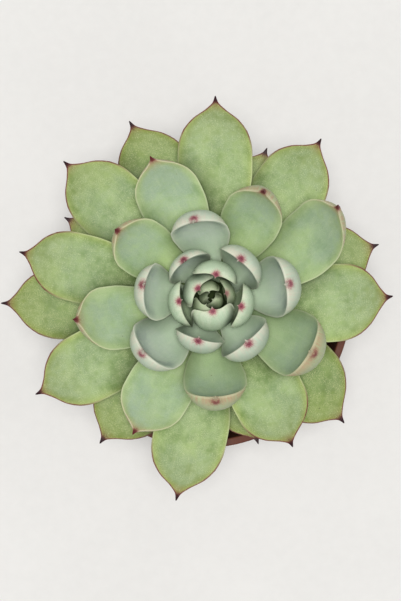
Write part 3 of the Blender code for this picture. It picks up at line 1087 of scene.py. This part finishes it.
def spine_foot(shape, leaf, upper, lower):
    """The middle of the coloured patch. It lies in the spine of a spread leaf, and on the back of
    a curled one."""
    reach, curled = leaf[3], leaf[5] > UPRIGHT
    depth = CURLED_SPINE_DEPTH if curled else SPINE_DEPTH
    start = shape.spine if curled else 1 - shape.spine_length / MM / reach
    row = int(np.argmin(np.abs(ALONG - start)))
    middle = upper.shape[1] // 2
    return upper[row, middle] * (1 - depth) + lower[row, middle] * depth


def check_place(node, points):
    """Raises an error where a skin's box is too far off its solid's."""
    low, high = (np.array(corner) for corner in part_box(node))
    miss = max(np.abs(points.min(axis=0) - low).max(), np.abs(points.max(axis=0) - high).max())
    if miss > LARGEST_MISS:
        raise RuntimeError(f"{node} is {miss / MM:.1f} mm off its solid")


def make_leaf(scene, leaf, finish):
    number, reach, tip_angle = leaf[0], leaf[3], leaf[5]
    shape = scene.echeveria_leaf_shape
    node = f"leaf_{OLDEST + 1 - number:02d}"
    upper, lower, tip, layers = leaf_surface(shape, leaf)
    points = ringed(upper, lower, tip)
    check_place(node, points)
    mesh = bpy.data.meshes.new(node + "_skin")
    mesh.from_pydata(points.tolist(), [], leaf_faces(len(ALONG), UPPER_POINTS))
    if mesh.validate():
        raise RuntimeError(f"{node} has a bad face")
    along, rim, flat_x, flat_y = (layers[name] for name in ("along", "rim_mm", "flat_x", "flat_y"))
    under = ringed(np.zeros_like(along), np.ones_like(along), 0.0)
    own_place = NEXT_LEAF * (number - YOUNGEST) + OTHER_SIDE * under
    flat = np.stack([ringed(flat_x, flat_x, 0.0), ringed(flat_y, flat_y, reach), own_place], axis=1)
    away = (points - spine_foot(shape, leaf, upper, lower)) / MM
    far = np.linalg.norm(away, axis=1)
    every = np.ones(len(points))
    stained = 1.0 if number > INMOST_LEAF else INMOST_STAINED if number == INMOST_LEAF else 0.0
    paint(
        mesh, along=ringed(along, along, 1.0), rim_mm=ringed(rim, rim, 0.0), under=under,
        tip_mm=np.linalg.norm(points - tip, axis=1) / MM, flat_mm=flat,
        spot_mm=far, away=away / np.maximum(far, 0.05)[:, None],
        stained=stained * every, inmost=float(number <= INMOST_LEAF) * every,
        spined=(CURLED_SPINED if tip_angle > UPRIGHT else 1.0) * every,
    )
    add_piece(node + "_skin", mesh, finish, [node])


def make_leaves(scene, ages, look, slot):
    """All leaves from the oldest to the youngest of these ages, in one finish."""
    oldest, youngest = ages
    finish = leaf_finish(slot, look)
    for leaf in LEAVES:
        if youngest <= leaf[0] <= oldest:
            make_leaf(scene, leaf, finish)


def crowd_leaves(furthest):
    """Stores on every leaf how close another leaf lies over its skin: 1 where they touch and 0
    at its reach or more. The reach is furthest on the oldest leaves and a third of it in the bud."""
    skins = [
        o for o in bpy.context.scene.objects
        if o.name.startswith("leaf_") and o.name.endswith("_skin")
    ]
    points, trees = {}, {}
    for skin in skins:
        co = np.empty(len(skin.data.vertices) * 3)
        skin.data.vertices.foreach_get("co", co)
        points[skin.name] = co.reshape(-1, 3)
        faces = [tuple(face.vertices) for face in skin.data.polygons]
        trees[skin.name] = BVHTree.FromPolygons(points[skin.name].tolist(), faces)
    for skin in skins:
        number = OLDEST + 1 - int(skin.name.split("_")[1])
        age = float(ramp(number, -4, 13))
        reach = furthest * (BUD_SHADE_REACH + (1 - BUD_SHADE_REACH) * age)
        mine = points[skin.name]
        normals = [vertex.normal.copy() for vertex in skin.data.vertices]
        gap = np.full(len(mine), reach)
        for other, tree in trees.items():
            if other == skin.name:
                continue
            low, high = points[other].min(axis=0) - reach, points[other].max(axis=0) + reach
            for i in np.flatnonzero(((mine > low) & (mine < high)).all(axis=1)):
                here = Vector(mine[i])
                place, _, _, distance = tree.find_nearest(here, gap[i])
                if place is not None and (place - here).dot(normals[i]) > LEAST_FACING * distance:
                    gap[i] = distance
        # A mask of painted shade, standing in for the shadow in the gap between leaves.
        paint(skin.data, crowded=ramp(gap, reach, FULLY_SHADED * reach))


# Stage

FLOOR_REACH = 2.5
LAMP_HEIGHT = 1.6
LAMP_SIZE = 0.36
FULL_POWER = 20
SENSOR_WIDTH = 36.0
CAMERA_X, CAMERA_Y = -1.32 * MM, 0.28 * MM


def add_floor(look):
    made = bmesh.new()
    bmesh.ops.create_grid(made, x_segments=8, y_segments=8, size=FLOOR_REACH)
    mesh = finished_mesh(made, "floor")
    mesh.materials.append(floor_finish(look))
    ground = add_object("floor", mesh)


def add_light(scene, look):
    """An even glow from all around and one round lamp straight overhead."""
    world = bpy.data.worlds.new("soft_room")
    world.use_nodes = True
    sky = world.node_tree.nodes["Background"]
    sky.inputs["Color"].default_value = (1.0, 0.995, 0.985, 1.0)
    sky.inputs["Strength"].default_value = look.sky
    scene.world = world
    lamp = bpy.data.lights.new("top_lamp", "AREA")
    lamp.shape, lamp.size, lamp.color = "DISK", LAMP_SIZE, (1.0, 0.995, 0.98)
    lamp.energy = FULL_POWER * look.top_light
    add_object("top_lamp", lamp).location = (0.0, 0.0, LAMP_HEIGHT)


def add_camera(scene, look):
    """A camera that looks straight down on the rosette."""
    lens = bpy.data.cameras.new("camera")
    lens.lens, lens.sensor_width, lens.clip_start = look.lens, SENSOR_WIDTH, 0.01
    scene.camera = add_object("camera", lens)
    scene.camera.location = (CAMERA_X, CAMERA_Y, look.height)


def make_stage(scene):
    look = scene.echeveria_stage
    add_floor(look)
    add_light(scene, look)
    add_camera(scene, look)
    scene.view_settings.view_transform = "Standard"


# Operators

class BuildPot(bpy.types.Operator):
    """Build the thin-walled pot with its rim band and drain holes"""
    bl_idname = "echeveria.build_pot"
    bl_label = "Pot"

    def execute(self, context):
        make_pot(context.scene)
        return {"FINISHED"}


class BuildSoil(bpy.types.Operator):
    """Build the soil, its loose grains and the stem that stands in it"""
    bl_idname = "echeveria.build_soil"
    bl_label = "Soil and stem"

    def execute(self, context):
        scene = context.scene
        look = scene.echeveria_soil
        make_soil(scene)
        make_stem(scene)
        pale = look.grains // PALE_ONE_IN
        shades = (look.grit, look.grit, look.dry)
        make_grains(scene, "pale_grains", pale, PALE_GRAINS, shades)
        shades = (look.lava, look.dark, look.dry)
        make_grains(scene, "dark_grains", look.grains - pale, DARK_GRAINS, shades)
        return {"FINISHED"}


class BuildOuterLeaves(bpy.types.Operator):
    """Build the oldest leaves, which lie nearly flat around the outside"""
    bl_idname = "echeveria.build_outer_leaves"
    bl_label = "Outer leaves"

    def execute(self, context):
        make_leaves(context.scene, OUTER_LEAVES, context.scene.echeveria_outer, "leaf_outer")
        return {"FINISHED"}


class BuildGrownLeaves(bpy.types.Operator):
    """Build the full-grown leaves"""
    bl_idname = "echeveria.build_grown_leaves"
    bl_label = "Full-grown leaves"

    def execute(self, context):
        make_leaves(context.scene, GROWN_LEAVES, context.scene.echeveria_grown, "leaf_full_grown")
        return {"FINISHED"}


class BuildMiddleLeaves(bpy.types.Operator):
    """Build the leaves half way in, whose tips turn up"""
    bl_idname = "echeveria.build_middle_leaves"
    bl_label = "Middle leaves"

    def execute(self, context):
        make_leaves(context.scene, MIDDLE_LEAVES, context.scene.echeveria_middle, "leaf_middle")
        return {"FINISHED"}


class BuildYoungLeaves(bpy.types.Operator):
    """Build the young leaves, cupped around the bud"""
    bl_idname = "echeveria.build_young_leaves"
    bl_label = "Young leaves"

    def execute(self, context):
        make_leaves(context.scene, YOUNG_LEAVES, context.scene.echeveria_young, "leaf_young")
        return {"FINISHED"}


class BuildBudLeaves(bpy.types.Operator):
    """Build the closed bud in the middle"""
    bl_idname = "echeveria.build_bud_leaves"
    bl_label = "Bud leaves"

    def execute(self, context):
        make_leaves(context.scene, BUD_LEAVES, context.scene.echeveria_bud, "leaf_bud")
        return {"FINISHED"}


class PaintContactShade(bpy.types.Operator):
    """Tint the skin of all leaves where they crowd each other"""
    bl_idname = "echeveria.crowd_leaves"
    bl_label = "Shade between leaves"

    def execute(self, context):
        crowd_leaves(context.scene.echeveria_leaf_shape.contact_shade_reach)
        return {"FINISHED"}


class BuildStage(bpy.types.Operator):
    """Set up the pale floor, the soft light and the camera"""
    bl_idname = "echeveria.build_stage"
    bl_label = "Floor, light and camera"

    def execute(self, context):
        make_stage(context.scene)
        return {"FINISHED"}


class EcheveriaPanel(bpy.types.Panel):
    """Lists the builders of the potted echeveria"""
    bl_idname = "VIEW3D_PT_echeveria"
    bl_label = "Potted echeveria"
    bl_space_type = "VIEW_3D"
    bl_region_type = "UI"
    bl_category = "Echeveria"

    def draw(self, context):
        for operator in OPERATORS:
            self.layout.operator(operator.bl_idname)
        for name, _ in SETTINGS:
            box = self.layout.box()
            box.label(text=name.replace("echeveria_", "").replace("_", " ").capitalize())
            group = getattr(context.scene, name)
            for prop in group.bl_rna.properties:
                if prop.identifier not in ("name", "rna_type"):
                    box.prop(group, prop.identifier)


SETTINGS = (
    ("echeveria_pot", PotSettings),
    ("echeveria_soil", SoilSettings),
    ("echeveria_leaf_shape", LeafShape),
    ("echeveria_outer", OuterFinish),
    ("echeveria_grown", GrownFinish),
    ("echeveria_middle", MiddleFinish),
    ("echeveria_young", YoungFinish),
    ("echeveria_bud", BudFinish),
    ("echeveria_stage", StageSettings),
)
OPERATORS = (
    BuildPot,
    BuildSoil,
    BuildOuterLeaves,
    BuildGrownLeaves,
    BuildMiddleLeaves,
    BuildYoungLeaves,
    BuildBudLeaves,
    PaintContactShade,
    BuildStage,
)


def register():
    for name, group in SETTINGS:
        bpy.utils.register_class(group)
        setattr(bpy.types.Scene, name, PointerProperty(type=group))
    for operator in OPERATORS:
        bpy.utils.register_class(operator)
    bpy.utils.register_class(EcheveriaPanel)


def unregister():
    bpy.utils.unregister_class(EcheveriaPanel)
    for operator in reversed(OPERATORS):
        bpy.utils.unregister_class(operator)
    for name, group in reversed(SETTINGS):
        delattr(bpy.types.Scene, name)
        bpy.utils.unregister_class(group)


def main():
    register()
    bpy.ops.echeveria.build_pot()
    bpy.ops.echeveria.build_soil()
    bpy.ops.echeveria.build_outer_leaves()
    bpy.ops.echeveria.build_grown_leaves()
    bpy.ops.echeveria.build_middle_leaves()
    bpy.ops.echeveria.build_young_leaves()
    bpy.ops.echeveria.build_bud_leaves()
    bpy.ops.echeveria.crowd_leaves()
    bpy.ops.echeveria.build_stage()


if __name__ == "__main__":
    main()
